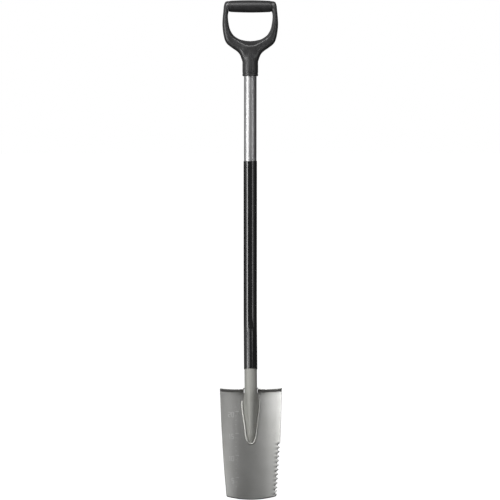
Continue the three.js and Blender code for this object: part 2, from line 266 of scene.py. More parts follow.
def turned(name, profile, place, sides=TUBE_SIDES):
    """A closed profile of (radius, height) turned about Z and put in place, point by point."""
    rings = [[place(x, y, height) for x, y in circle(radius, sides)] for radius, height in profile]
    return lofted(name, rings, closed=True)


def rounded_pipe(inner, outer, low, high, rim, between=()):
    """The profile of a pipe with rounded rims, with extra rings at the heights in between."""
    corner = [(rim * (1 - math.cos(a)), rim * (1 - math.sin(a))) for a in np.linspace(0, math.pi / 2, 5)]
    up = [(outer - dx, low + dz) for dx, dz in reversed(corner)]
    up += [(outer, height) for height in between]
    up += [(outer - dx, high - dz) for dx, dz in corner]
    down = [(inner, height) for height in (high, *reversed(between), low)]
    return up + down


def evaluated(obj):
    """Bakes an object's modifiers into its mesh."""
    graph = bpy.context.evaluated_depsgraph_get()
    mesh = bpy.data.meshes.new_from_object(obj.evaluated_get(graph))
    obj.modifiers.clear()
    obj.data = mesh


def dress(obj, material, slot, *nodes, crease=40):
    """Shades a piece smooth but for its creases, gives it a material and rides it on the one body."""
    for polygon in obj.data.polygons:
        polygon.use_smooth = True
    obj.data.set_sharp_from_angle(angle=math.radians(crease))
    obj.data.materials.clear()
    obj.data.materials.append(material)
    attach(obj, "root")
    if nodes:
        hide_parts(*nodes)


# ---------------------------------------------------------------- materials

# The mix node has sockets for several kinds of data under the same names, so its colours are found by number.
MIX_FIRST = 6
MIX_SECOND = 7
MIX_RESULT = 2


class Finish:
    """A Principled material, built up from procedural textures in the object's own coordinates."""

    def __init__(self, name, metallic, roughness=0.5, specular=0.5):
        self.material = bpy.data.materials.new(name)
        self.material.use_nodes = True
        self.nodes = self.material.node_tree.nodes
        self.links = self.material.node_tree.links
        self.shader = self.nodes["Principled BSDF"]
        self.shader.inputs["Metallic"].default_value = metallic
        self.shader.inputs["Roughness"].default_value = roughness
        self.shader.inputs["Specular IOR Level"].default_value = specular
        self.coordinates = self.nodes.new("ShaderNodeTexCoord").outputs["Object"]
        self.relief = None

    def grain(self, size, stretch=(1, 1, 1), detail=3.0):
        """Noise with grains of a size in millimetres, drawn out along an axis where stretch is above 1."""
        mapping = self.nodes.new("ShaderNodeMapping")
        mapping.inputs["Scale"].default_value = [1 / (size * MM * factor) for factor in stretch]
        self.links.new(self.coordinates, mapping.inputs["Vector"])
        texture = self.nodes.new("ShaderNodeTexNoise")
        texture.inputs["Scale"].default_value = 1.0
        texture.inputs["Detail"].default_value = detail
        self.links.new(mapping.outputs["Vector"], texture.inputs["Vector"])
        return texture.outputs["Fac"]

    def painted_on(self, name):
        """A share from 0 to 1 that the mesh carries at its points."""
        attribute = self.nodes.new("ShaderNodeAttribute")
        attribute.attribute_name = name
        return attribute.outputs["Fac"]

    def ranged(self, source, low, high, from_low=0.3, from_high=0.7):
        """Maps a source on to low to high. Its own range is that of most noise, unless it is given."""
        node = self.nodes.new("ShaderNodeMapRange")
        node.inputs["From Min"].default_value = from_low
        node.inputs["From Max"].default_value = from_high
        node.inputs["To Min"].default_value = low
        node.inputs["To Max"].default_value = high
        self.links.new(source, node.inputs["Value"])
        return node.outputs["Result"]

    def mixed(self, share, first, second):
        """A colour between two, each given as red, green and blue or as a socket."""
        node = self.nodes.new("ShaderNodeMix")
        node.data_type = "RGBA"
        self.links.new(share, node.inputs["Factor"])
        for socket, value in ((node.inputs[MIX_FIRST], first), (node.inputs[MIX_SECOND], second)):
            if isinstance(value, bpy.types.NodeSocket):
                self.links.new(value, socket)
            else:
                socket.default_value = (*value, 1.0)
        return node.outputs[MIX_RESULT]

    def colour(self, source):
        self.links.new(source, self.shader.inputs["Base Color"])

    def roughness(self, source):
        """Drives the roughness from a socket, in place of the plain value."""
        self.links.new(source, self.shader.inputs["Roughness"])

    def bumpy(self, height, depth, strength=1.0):
        """Adds relief of the given depth in millimetres on top of what is there."""
        bump = self.nodes.new("ShaderNodeBump")
        bump.inputs["Strength"].default_value = strength
        bump.inputs["Distance"].default_value = depth * MM
        self.links.new(height, bump.inputs["Height"])
        if self.relief is not None:
            self.links.new(self.relief, bump.inputs["Normal"])
        self.relief = bump.outputs["Normal"]
        self.links.new(self.relief, self.shader.inputs["Normal"])


def blade_steel():
    """Satin steel sheet with fine lines up the blade and faint handling marks. Its fine bevels at the teeth
    and the cutting edge are painted darker, as painted shade.
    """
    finish = Finish("blade_steel", metallic=0.92)
    lines = finish.grain(0.35, stretch=(1, 1, 60), detail=2)
    clouds = finish.grain(38)
    blotches = finish.mixed(finish.ranged(clouds, 0, 1), (0.42, 0.42, 0.40), (0.49, 0.49, 0.475))
    brushed = finish.mixed(finish.ranged(lines, 0, 0.5), blotches, (0.60, 0.60, 0.59))
    # Painted shade: the fine bevels at the teeth and the cutting edge are darkened to stand in for their
    # shadow.
    painted_shade_bevel = finish.painted_on("painted_shade_bevel")
    finish.colour(finish.mixed(painted_shade_bevel, brushed, (0.19, 0.19, 0.185)))
    finish.roughness(finish.ranged(lines, 0.29, 0.40))
    finish.bumpy(lines, 0.02, 0.5)
    finish.bumpy(finish.grain(0.9), 0.02, 0.4)
    return finish.material


def shaft_paint():
    """Warm grey metallic lacquer with orange peel, and a speckle of flake."""
    finish = Finish("shaft_paint", metallic=0.3)
    flake = finish.grain(0.25, detail=1)
    clouds = finish.grain(30)
    tone = finish.mixed(finish.ranged(clouds, 0, 1), (0.325, 0.325, 0.3), (0.37, 0.37, 0.345))
    finish.colour(finish.mixed(finish.ranged(flake, 0, 0.45, 0.5, 0.8), tone, (0.60, 0.60, 0.57)))
    finish.roughness(finish.ranged(clouds, 0.55, 0.64))
    finish.bumpy(finish.grain(1.6), 0.03, 0.6)
    return finish.material


def weld_steel():
    """Lacquered weld metal: brighter on the crests of its ripples and darker in between."""
    finish = Finish("weld_steel", metallic=0.7)
    fine = finish.grain(0.5)
    crest = finish.painted_on("crest")
    metal = finish.mixed(finish.ranged(fine, 0, 1), (0.58, 0.58, 0.55), (0.72, 0.72, 0.69))
    finish.colour(finish.mixed(crest, (0.30, 0.30, 0.28), metal))
    finish.roughness(finish.ranged(fine, 0.28, 0.45))
    finish.bumpy(fine, 0.05, 0.6)
    return finish.material


def brushed_aluminium():
    """Drawn tube, clear anodised: fine lines along its length and slightly uneven gloss."""
    finish = Finish("upper_tube", metallic=1.0)
    lines = finish.grain(0.22, stretch=(1, 1, 250), detail=2)
    clouds = finish.grain(18, stretch=(1, 1, 4))
    tone = finish.mixed(finish.ranged(clouds, 0, 1), (0.50, 0.50, 0.505), (0.56, 0.56, 0.565))
    finish.colour(finish.mixed(finish.ranged(lines, 0, 0.6), tone, (0.68, 0.68, 0.68)))
    finish.roughness(finish.ranged(lines, 0.34, 0.44))
    finish.bumpy(lines, 0.012, 0.5)
    return finish.material


def sleeve_plastic():
    """Glossy black film shrunk on the tube, with a slow waviness and fine rub marks along it."""
    finish = Finish("sleeve_plastic", metallic=0.0, specular=0.75)
    rubs = finish.grain(0.5, stretch=(1, 1, 80), detail=4)
    waves = finish.grain(14, stretch=(1, 1, 3), detail=1)
    black = finish.mixed(finish.ranged(waves, 0, 1), (0.009, 0.009, 0.0095), (0.014, 0.014, 0.0145))
    finish.colour(finish.mixed(finish.ranged(rubs, 0, 0.5, 0.55, 0.8), black, (0.035, 0.035, 0.035)))
    finish.roughness(finish.ranged(rubs, 0.09, 0.19))
    finish.bumpy(waves, 0.06, 0.3)
    return finish.material


def moulded_plastic():
    """Black moulded nylon with a fine spark-eroded texture, polished a little by hands."""
    finish = Finish("handle_plastic", metallic=0.0, specular=0.8)
    stipple = finish.grain(0.55, detail=2)
    clouds = finish.grain(16)
    finish.colour(finish.mixed(finish.ranged(clouds, 0, 1), (0.021, 0.021, 0.0215), (0.030, 0.030, 0.031)))
    finish.roughness(finish.ranged(clouds, 0.34, 0.40))
    finish.bumpy(stipple, 0.01, 0.3)
    return finish.material


def grip_rubber():
    """Soft-touch rubber: matt, with a pebbled skin and a paler bloom."""
    finish = Finish("grip_rubber", metallic=0.0)
    pebbles = finish.grain(0.8, detail=2)
    bloom = finish.grain(12)
    finish.colour(finish.mixed(finish.ranged(bloom, 0, 1), (0.020, 0.020, 0.0205), (0.030, 0.030, 0.031)))
    finish.roughness(finish.ranged(bloom, 0.36, 0.46))
    finish.bumpy(pebbles, 0.025, 0.4)
    return finish.material


def fastener_steel():
    """Zinc-plated steel, faintly mottled."""
    finish = Finish("fastener_steel", metallic=1.0)
    mottle = finish.grain(1.5)
    finish.colour(finish.mixed(finish.ranged(mottle, 0, 1), (0.52, 0.53, 0.54), (0.68, 0.69, 0.70)))
    finish.roughness(finish.ranged(mottle, 0.24, 0.38))
    finish.bumpy(mottle, 0.02, 0.4)
    return finish.material


def mark_ink():
    """The etched depth scale: matt, a little paler than the steel round it."""
    finish = Finish("etched_mark", metallic=0.6, roughness=0.6)
    mottle = finish.grain(0.6)
    finish.colour(finish.mixed(finish.ranged(mottle, 0, 1), (0.58, 0.58, 0.57), (0.68, 0.68, 0.67)))
    finish.bumpy(mottle, 0.02, 0.5)
    return finish.material


BLADE_STEEL = blade_steel()
SHAFT_PAINT = shaft_paint()
WELD_STEEL = weld_steel()
ALUMINIUM = brushed_aluminium()
SLEEVE_PLASTIC = sleeve_plastic()
HANDLE_PLASTIC = moulded_plastic()
GRIP_RUBBER = grip_rubber()
FASTENER_STEEL = fastener_steel()
MARK_INK = mark_ink()

# ---------------------------------------------------------------- blade


def dish(x):
    """How far forward the dished sheet comes at a distance x from its middle."""
    return DISH_RADIUS - math.sqrt(DISH_RADIUS**2 - x**2)


def half_width(z):
    """Half the blade's width at a height above the cutting edge: a taper with a slight bulge."""
    share = z / BLADE_LENGTH
    return lerp(HALF_WIDTH_BOTTOM, HALF_WIDTH_TOP, share) + 4 * SIDE_BULGE * share * (1 - share)


# The grid is laid out at the fold, in distances from the left side. The treads' gap lies in its plain zone.
PLAIN_WIDTH = 2 * half_width(FOLD_START) - TOOTHED_ZONE
GAP_LEFT = half_width(FOLD_START) - HALF_GAP
GAP_RIGHT = GAP_LEFT + 2 * HALF_GAP
NEAR_EDGE = (0, 0.1, 0.3, 0.7)  # how far grid lines stand from a rounded edge
COLUMN_STEP = 1.6
TOOTH_COLUMN_STEP = 0.4
ROWS_PER_TOOTH = 18
PLAIN_ROWS = 70
FOLD_ROWS = 10


def tooth_cut(z):
    """The share of a tooth's depth that is missing at a height: 0 at the points, 1 in mid gullet."""
    if z >= TEETH_TOP:
        return 0.0
    wave = abs(math.sin(math.pi * z / TOOTH_PITCH))
    return lerp(wave, wave * wave, TOOTH_SHARPNESS)


def round_corner(distance, radius):
    """How far a corner rounded to a radius falls back, at a distance from its side."""
    short = max(0.0, radius - distance)
    return radius - math.sqrt(radius**2 - short**2)


def rim_loss(distance):
    """How much of each skin's half thickness is missing at a distance from a rounded rim."""
    return round_corner(max(0.0, distance), RIM_RADIUS)


def blade_columns():
    """Stations across the blade: a share of the plain zone, and a distance in from the toothed edge."""
    near_side = [*NEAR_EDGE, 1.5]
    near_gap = [GAP_LEFT - d for d in NEAR_EDGE] + [GAP_RIGHT + d for d in NEAR_EDGE]
    rest = np.arange(3.0, PLAIN_WIDTH, COLUMN_STEP)
    clear = [x for x in rest if min(abs(x - g) for g in near_gap) > 0.5]
    plain = [(x / PLAIN_WIDTH, TOOTHED_ZONE) for x in sorted({*near_side, *near_gap, *clear})]
    toothed = [(1.0, float(d)) for d in np.arange(TOOTHED_ZONE, 0, -TOOTH_COLUMN_STEP)]
    return [*plain, *toothed, (1.0, 0.0)]


def blade_rows():
    """Stations up the sheet from the cutting edge: height, turn round the fold, reach along the tread."""
    painted_shade_bevel = [(z, 0.0, 0.0) for z in (0, 0.3, 0.8, 1.4, EDGE_BEVEL, EDGE_BEVEL + 0.4)]
    toothed = [(z, 0.0, 0.0) for z in np.arange(EDGE_BEVEL + 1, TEETH_TOP, TOOTH_PITCH / ROWS_PER_TOOTH)]
    plain = [(z, 0.0, 0.0) for z in np.linspace(TEETH_TOP, FOLD_START - 0.8, PLAIN_ROWS)]
    fold = [(FOLD_START, turn, 0.0) for turn in np.linspace(0, 1, FOLD_ROWS)]
    from_front = (9.5, 7.5, 5, 3, 1.5, *reversed(NEAR_EDGE))
    tread = [(FOLD_START, 1.0, TREAD_REACH - d) for d in from_front]
    return painted_shade_bevel + toothed + plain + fold + tread


def tread_rise(x):
    """How far a tread stands above its flat stretch at a distance x from the middle of the blade."""
    share = (abs(abs(x) - TREAD_MIDDLE) - TREAD_FLAT) / (HALF_WIDTH_TOP - TREAD_MIDDLE - TREAD_FLAT)
    return TREAD_RISE * min(1.0, max(0.0, share)) ** 2


def ground_away(x, z):
    """How much of the sheet's front is removed by grinding near an edge, and the share of painted shade on
    the fine bevel there.
    """
    removed = 0.0
    bevel = 0.0
    if z < TEETH_TOP:
        from_edge = half_width(z) - x
        cut = tooth_cut(z) * TOOTH_DEPTH
        hollow = lerp(GRIND_AT_POINTS, GRIND_AT_GULLETS, tooth_cut(z))
        removed = HOLLOW_GRIND * max(0.0, 1 - (from_edge - cut) / (hollow - cut))
        bevel = max(0.0, 1 - (from_edge - cut) / TOOTH_BEVEL)
    if z < EDGE_BEVEL:
        bevel = max(bevel, 1 - z / EDGE_BEVEL)
    removed += (SHEET - EDGE_THICKNESS - HOLLOW_GRIND) * bevel
    return removed, min(1.0, PAINTED_SHADE_BORDER * bevel)


def sheet_point(column, row, skin):
    """A point on the blade's front (skin 0) or back (skin 1), and the share of painted shade on its fine
    bevels there.
    """
    share, inset = column
    z, turn, reach = row
    edge = half_width(z)
    cut = tooth_cut(z) * TOOTH_DEPTH
    if share < 1:
        x = lerp(-edge, edge - TOOTHED_ZONE, share)
    else:
        x = edge - inset - cut * (1 - inset / TOOTHED_ZONE)
    side = edge - abs(x) if share < 1 else inset
    x_share = min(1.0, abs(x) / edge)
    low = max(0.0, 1 - z / EDGE_RISE_FADES)
    corner = TOOTHED_CORNER if share == 1 else PLAIN_CORNER
    corner_share = max(0.0, 1 - z / CORNER_FADES)
    rise = EDGE_RISE * x_share**2 * low + round_corner(side, corner) * corner_share

    loss = rim_loss(side)
    removed, painted_shade_bevel = ground_away(x, z)
    if turn > 0:
        loss = max(loss, rim_loss(TREAD_REACH - reach), rim_loss(abs(x) - HALF_GAP))
        reach -= round_corner(side, TREAD_CORNER) * reach / TREAD_REACH
    front_loss = max(loss, removed)

    radius = FOLD_RADIUS + (SHEET - loss if skin else front_loss)
    angle = turn * TREAD_FOLD
    forward = FOLD_RADIUS - radius * math.cos(angle) + reach * math.sin(angle)
    folded = radius * math.sin(angle) + reach * math.cos(angle) + turn * tread_rise(x)
    return on_head(x, FACE_DEPTH - dish(x) - forward, z + rise + folded), painted_shade_bevel


def build_blade():
    """Two skins over one grid, joined round every open edge. The grid has no cells in the treads' gap."""
    columns = blade_columns()
    rows = blade_rows()
    index = {}
    points = []
    painted_shade_bevel = []
    for skin in (0, 1):
        for i, row in enumerate(rows):
            for j, column in enumerate(columns):
                point, share = sheet_point(column, row, skin)
                index[skin, i, j] = len(points)
                points.append(point)
                painted_shade_bevel.append(0.0 if skin else share)

    def cell_kept(i, j):
        if not (0 <= i < len(rows) - 1 and 0 <= j < len(columns) - 1):
            return False
        middle = (columns[j][0] + columns[j + 1][0]) / 2
        return rows[i + 1][1] == 0 or not GAP_LEFT < middle * PLAIN_WIDTH < GAP_RIGHT

    faces = []
    for i in range(len(rows) - 1):
        for j in range(len(columns) - 1):
            if not cell_kept(i, j):
                continue
            corners = [(i, j), (i, j + 1), (i + 1, j + 1), (i + 1, j)]
            faces.append([index[0, a, b] for a, b in corners])
            faces.append([index[1, a, b] for a, b in reversed(corners)])
            neighbours = ((i - 1, j), (i, j + 1), (i + 1, j), (i, j - 1))
            for side, neighbour in enumerate(neighbours):
                if not cell_kept(*neighbour):
                    p, q = corners[side], corners[(side + 1) % 4]
                    faces.append([index[0, *q], index[0, *p], index[1, *p], index[1, *q]])

    used = sorted({corner for face in faces for corner in face})
    renumbered = {old: new for new, old in enumerate(used)}
    faces = [[renumbered[corner] for corner in face] for face in faces]
    blade = mesh_object("blade_sheet", [points[i] for i in used], faces)
    # The front skin's fine bevels carry a share of painted shade, which the blade's material darkens.
    share = blade.data.attributes.new("painted_shade_bevel", "FLOAT", "POINT")
    share.data.foreach_set("value", [painted_shade_bevel[i] for i in used])
    dress(blade, BLADE_STEEL, "blade_steel", "blade", crease=35)


# ---------------------------------------------------------------- lower shaft and welds

# Height above the tip, reach of the wings, half width of the dome, its depth to the front and to the back.
pressed_end = smooth_through([
    (PRESSED_FROM, 3, 2.2, 1.2, 0.5),
    (134, 6.2, 5, 3.6, 0.6),
    (142, 8.6, 7.2, 7.6, 0.8),
    (157, 10.6, 9, 11.6, 1),
    (171, 12.2, 9.9, 14.6, 1.2),
    (186, 14.4, 10.9, 17.4, 1.6),
    (206, 16.8, 12.4, 20.6, 2.6),
    (223, 17.6, 14, 22.4, 3.6),
    (237, 15.4, 14.3, 20.6, 8),
    (ROUND_FROM, TUBE_RADIUS, TUBE_RADIUS, TUBE_RADIUS, TUBE_RADIUS),
])


def build_lower_shaft():
    """The painted tube, round above and pressed to a winged dome where it lies on the blade."""
    heights = [*np.linspace(TIP + PRESSED_FROM, TIP + ROUND_FROM, 110)]
    heights += [*np.linspace(TIP + ROUND_FROM, BEND_TOP, 60)[1:], TUBE_JOINT - CLEARANCE]
    rings = []
    for height in heights:
        wing, dome, front, back = pressed_end(height - TIP)
        ring = []
        for cosine, sine in circle(1.0):
            flare = (wing - dome) * abs(cosine) ** FLARE_SHARPNESS
            x = cosine * (dome + flare)
            y = TUBE_RADIUS - back + sine * (back if sine > 0 else front)
            ring.append(bent(x, y, height))
        rings.append(ring)
    shaft = lofted("lower_tube", rings)
    dress(shaft, SHAFT_PAINT, "shaft_paint", "lower_shaft", crease=55)


def catmull_rom(points, samples):
    """A smooth path through points, sampled evenly between each pair."""
    points = [np.array(p, float) for p in points]
    padded = [2 * points[0] - points[1], *points, 2 * points[-1] - points[-2]]
    path = []
    for a, b, c, d in zip(padded, padded[1:], padded[2:], padded[3:]):
        for t in np.arange(samples) / samples:
            linear = (c - a) * t
            square = (2 * a - 5 * b + 4 * c - d) * t**2
            cubic = (3 * b - a - 3 * c + d) * t**3
            path.append((2 * b + linear + square + cubic) / 2)
    return [*path, points[-1]]


def evenly(path, spacing):
    """The same path with its points a fixed distance apart."""
    path = np.array(path)
    lengths = np.concatenate([[0], np.cumsum(np.linalg.norm(np.diff(path, axis=0), axis=1))])
    stations = np.linspace(0, lengths[-1], max(8, int(lengths[-1] / spacing)))
    return np.column_stack([np.interp(stations, lengths, path[:, axis]) for axis in range(3)]), stations


def bead(name, path, radius, place, nodes):
    """A weld bead along a path: a row of overlapping ripples, a little uneven, tapered at both ends."""
    path, stations = evenly(path, BEAD_STEP)
    tangents = np.gradient(path, axis=0)
    rings = []
    crests = []
    for i, (centre, tangent, station) in enumerate(zip(path, tangents, stations)):
        tangent = tangent / np.linalg.norm(tangent)
        sideways = np.cross(tangent, (0.0, 1.0, 0.0))
        sideways /= np.linalg.norm(sideways)
        outward = np.cross(sideways, tangent)
        phase = station / WELD_RIPPLE + 0.25 * noise.noise(Vector((station / 9, 3.1, radius)))
        ripple = (phase % 1) ** 0.6
        uneven = WELD_UNEVENNESS * noise.noise(Vector((station / 6, radius, 0)))
        from_end = BEAD_STEP * min(i, len(path) - 1 - i)
        taper = min(1.0, WELD_END + from_end / radius)
        size = radius * taper * (WELD_TROUGH + WELD_UNEVENNESS * ripple + uneven)
        section = [size * (c * sideways + s * outward) for c, s in circle(1.0, WELD_SIDES)]
        rings.append([place(*(centre + offset)) for offset in section])
        crests += [min(1.0, 0.25 + ripple)] * WELD_SIDES
    weld = lofted(name, rings)
    share = weld.data.attributes.new("crest", "FLOAT", "POINT")
    share.data.foreach_set("value", crests)
    dress(weld, WELD_STEEL, "weld_steel", *nodes, crease=70)


def build_blade_weld():
    """The U of weld round the pressed end: down one side of its wings, round the end and up the other."""
    stand = WELD_RADIUS + CLEARANCE

    def on_blade(x, z):
        return (x, FACE_DEPTH - dish(x) - stand, z)

    side = [on_blade(pressed_end(z)[0] + stand + CLEARANCE, z) for z in np.linspace(WELD_TOP, WELD_TURN, 8)]
    side.append(on_blade(4.8, PRESSED_FROM - 1.3))
    other_side = [(-x, y, z) for x, y, z in reversed(side)]
    points = [*side, on_blade(0, PRESSED_FROM - stand - CLEARANCE), *other_side]
    bead("blade_weld", catmull_rom(points, 40), WELD_RADIUS, on_head, ["weld_bead"])


def build_tread_weld(side, word):
    """A short arc of weld round the tube, just above a tread."""
    around = TUBE_RADIUS + 3 * CLEARANCE + TREAD_WELD_RADIUS
    front = BLADE_LENGTH + TREAD_RISE + CLEARANCE + TREAD_WELD_RADIUS
    arc = []
    for angle in np.linspace(TREAD_WELD_FROM, TREAD_WELD_TO, 20):
        y = around * math.sin(angle)
        arc.append((side * around * math.cos(angle), y, front - y / math.tan(TREAD_FOLD)))
    bead(f"{word}_tread_bead", arc, TREAD_WELD_RADIUS, on_head, [f"{word}_tread_weld"])


# ---------------------------------------------------------------- depth scale on the blade

MARK_HEIGHT = 0.08
MARK_SUNK = 0.1
MARK_WIDTH = 1.4
MARK_STEP = 1.5
DIGIT_WIDTH = 4.6
DIGIT_HEIGHT = 10.5
DIGIT_STEP = 7.2
MARKS_LEFT = -52.0
TICKS_LEFT = -36.0
LONG_TICK = 8.0
SHORT_TICK = 2.5
FIRST_DEPTH = 3  # in centimetres, as is the next
LAST_DEPTH = 21
STROKES = {
    "0": [(0, 0), (0, 1), (1, 1), (1, 0), (0, 0)],
    "1": [(0.3, 0.8), (0.7, 1), (0.7, 0)],
    "2": [(0, 1), (1, 1), (1, 0.52), (0, 0.48), (0, 0), (1, 0)],
    "5": [(1, 1), (0, 1), (0, 0.55), (1, 0.5), (1, 0), (0, 0)],
}


def stroke(points, faces, start, end):
    """A thin raised bar on the blade's front, from one (x, z) to another, laid along the dish."""
    start, end = np.array(start, float), np.array(end, float)
    length = np.linalg.norm(end - start)
    across = np.array([-(end - start)[1], (end - start)[0]]) / length * MARK_WIDTH / 2
    steps = max(2, int(length / MARK_STEP))
    first = len(points)
    for i in range(steps + 1):
        centre = start + (end - start) * i / steps
        for x, z in (centre - across, centre + across):
            for raised in (-MARK_SUNK, MARK_HEIGHT):
                points.append(on_head(x, FACE_DEPTH - dish(x) - raised, z))
    for i in range(steps):
        a = first + 4 * i
        b = a + 4
        for p, q in ((0, 1), (1, 3), (3, 2), (2, 0)):
            faces.append((a + p, a + q, b + q, b + p))
    last = first + 4 * steps
    faces.append((first, first + 2, first + 3, first + 1))
    faces.append((last, last + 1, last + 3, last + 2))


def build_depth_scale():
    """A tick every centimetre up the blade, longer every five, with the depth beside the long ones."""
    points = []
    faces = []
    for depth in range(FIRST_DEPTH, LAST_DEPTH + 1):
        z = 10.0 * depth
        is_long = depth % 5 == 0
        stroke(points, faces, (TICKS_LEFT, z), (TICKS_LEFT + (LONG_TICK if is_long else SHORT_TICK), z))
        if not is_long:
            continue
        text = str(depth)
        left = MARKS_LEFT + (2 - len(text)) * DIGIT_STEP
        for i, digit in enumerate(text):
            x, top = left + i * DIGIT_STEP, z - 2
            line = [(x + u * DIGIT_WIDTH, top - (1 - v) * DIGIT_HEIGHT) for u, v in STROKES[digit]]
            for start, end in zip(line, line[1:]):
                stroke(points, faces, start, end)
    marks = mesh_object("depth_scale", points, faces)
    dress(marks, MARK_INK, "blade_steel")


# ---------------------------------------------------------------- upper shaft and sleeve


def build_upper_tube():
    """The bright tube, from the joint inside the sleeve up into the handle's socket."""
    inner = TUBE_RADIUS - TUBE_WALL
    between = np.linspace(TUBE_JOINT, TUBE_TOP, 30)[1:-1]
    profile = rounded_pipe(inner, TUBE_RADIUS, TUBE_JOINT, TUBE_TOP, TUBE_RIM, between)
    tube = turned("upper_tube", profile, bent)
    dress(tube, ALUMINIUM, "upper_tube", "upper_shaft")


def build_sleeve():
    """The thin plastic sleeve, turned straight and then bent with the shaft."""
    inner = SLEEVE_RADIUS - SLEEVE_WALL
    between = np.linspace(SLEEVE_BOTTOM + 2, SLEEVE_TOP - 2, 180)
    profile = rounded_pipe(inner, SLEEVE_RADIUS, SLEEVE_BOTTOM, SLEEVE_TOP, SLEEVE_RIM, between)
    sleeve = turned("sleeve_tube", profile, bent)
    dress(sleeve, SLEEVE_PLASTIC, "sleeve_plastic", "shaft_sleeve")


# ---------------------------------------------------------------- handle

# Step, outer x, outer z, inner x, inner z and half depth, from the bottom of the yoke to the top of the bar.
half_d = smooth_through([
    (0, 0, 29, 0, 79.3, 16.5),
    (1, 17.9, 33.8, 8.8, 79.9, 16),
    (2, 22.9, 46.4, 16.6, 81.3, 14.9),
    (3, 31.2, 55.8, 24.3, 83.4, 13.8),
    (4, 43.3, 64.3, 32.1, 87.7, 12.9),
    (5, 53.6, 73, 38.5, 93, 12.9),
    (6, 58.9, 83.6, 42.6, 98.9, 12.9),
    (7, 62.3, 100.5, 46.4, 106.8, 12.9),
    (8, 63.6, 116.5, 48.7, 116.9, 12.9),
    (9, 62.9, 131.4, 50.4, 129.4, 12.9),
    (10, 61.4, 145.9, 50.4, 138.6, 12.9),
    (11, 59.4, 161, 49.3, 144, 12.7),
    (12, 53, 168.3, 45.8, 144.8, 12.1),
    (13, 26.5, 168.8, 26.5, 144.8, 12.1),
    (14, 0, 168.8, 0, 144.8, 12.1),
])
D_STEPS = 14
RINGS_PER_STEP = 8
SECTION_SIDES = 72
SQUARENESS = 0.9  # the power that rounds the section: 1 would make it an ellipse
LEDGE = 0.24  # share of the section that slopes from the ridge to the hand opening
RIDGE_FADES = (9.5, 12)  # the steps between which the crisp ridge fades out


def squarer(value):
    """A sine or cosine pushed outwards, so that the section it draws is squarer than an ellipse."""
    return math.copysign(abs(value) ** SQUARENESS, value)


def d_ring():
    """The D's ring: a squarish section, with a sloping ledge from a crisp ridge down to the hand opening."""
    rings = []
    side_rings = RINGS_PER_STEP * D_STEPS
    for i in range(2 * side_rings):
        around = math.pi * (i / side_rings - 1)
        step = abs(around) / math.pi * D_STEPS
        outer_x, outer_z, inner_x, inner_z, depth = half_d(step)
        crispness = 1 - smoothstep(*RIDGE_FADES, step)
        ring = []
        for cosine, sine in circle(1.0, SECTION_SIDES):
            share = (1 + squarer(cosine)) / 2
            fullness = abs(squarer(sine))
            if cosine < 0:
                fullness = lerp(fullness, min(1.0, share / LEDGE), crispness)
            x = math.copysign(lerp(inner_x, outer_x, share), around)
            y = -math.copysign(depth * fullness, sine)
            ring.append(on_handle(x, y, lerp(inner_z, outer_z, share)))
        rings.append(ring)
    return lofted("handle_body_moulding", rings, closed=True)


def neck():
    """The socket's solid, with a shoulder that runs up into the yoke."""
    r = SOCKET_RADIUS
    low = -MOUTH_DROP
    profile = [(NEAR_AXIS, low), (r - 2, low), (r - 0.6, low + 0.4), (r, low + 1.4), (r, 20), (r, 38)]
    profile += [(r - 0.3, 48), (r - 1.4, 57), (r - 4.8, 65.5), (r - 10, 71), (NEAR_AXIS, 74)]
    rings = [[on_handle(x, y, z) for x, y in circle(radius)] for radius, z in profile]
    return lofted("neck_core", rings)


def join(first, *others):
    """Puts the meshes of several objects into the first one."""
    bm = bmesh.new()
    for obj in (first, *others):
        bm.from_mesh(obj.data)
    bm.to_mesh(first.data)
    bm.free()
    for obj in others:
        bpy.data.objects.remove(obj)
    return first


def cut_away(obj, *tools):
    """Cuts the tools' solids out of an object, and deletes the tools."""
    for tool in tools:
        modifier = obj.modifiers.new("cut", "BOOLEAN")
        modifier.operation = "DIFFERENCE"
        modifier.solver = "EXACT"
        modifier.object = tool
    evaluated(obj)
    for tool in tools:
        bpy.data.objects.remove(tool)


def along_crossbar(x, y, z):
    """A point given about the crossbar's axis, in metres in the row frame."""
    return Vector((z, y + SHAFT_Y, x + GRIP_HEIGHT)) * MM


def height_on_handle(vertex):
    """A vertex's height above the socket's mouth, in millimetres."""
    return vertex.co.z / MM - HANDLE_BASE


def skin_share(height):
    """All of the moulding but the socket's mouth, by the height above it."""
    return smoothstep(3, 12, height)


def yoke_share(height):
    """The stretch where the neck runs into the yoke, by the height above the socket's mouth."""
    return smoothstep(26, 44, height) * (1 - smoothstep(48, 62, height))


# What each smoothing works on, and its rounds.
SMOOTHING = (("skin", skin_share, 22), ("yoke", yoke_share, 220))


def blend(body):
    """Fuses overlapping solids into one skin and smooths it, most of all round the yoke."""
    remesh = body.modifiers.new("fuse", "REMESH")
    remesh.mode = "VOXEL"
    remesh.voxel_size = HANDLE_VOXEL * MM
    evaluated(body)
    for name, share, rounds in SMOOTHING:
        group = body.vertex_groups.new(name=name)
        for vertex in body.data.vertices:
            group.add([vertex.index], share(height_on_handle(vertex)), "REPLACE")
        smooth = body.modifiers.new(name, "SMOOTH")
        smooth.factor = 0.5
        smooth.iterations = rounds
        smooth.vertex_group = name
    evaluated(body)


def make_socket_round(body):
    """Moves the socket's skin on to a true cylinder, less and less towards the yoke."""
    for vertex in body.data.vertices:
        height = height_on_handle(vertex)
        across, deep = vertex.co.x / MM, vertex.co.y / MM - SHAFT_Y
        reach = math.hypot(across, deep)
        if MOUTH_RIM < height < SOCKET_BLENDED_FROM and reach > SOCKET_BORE:
            blended = smoothstep(SOCKET_ROUND_TO, SOCKET_BLENDED_FROM, height)
            scale = lerp(SOCKET_RADIUS / reach, 1, blended)
            vertex.co.x = across * scale * MM
            vertex.co.y = (deep * scale + SHAFT_Y) * MM


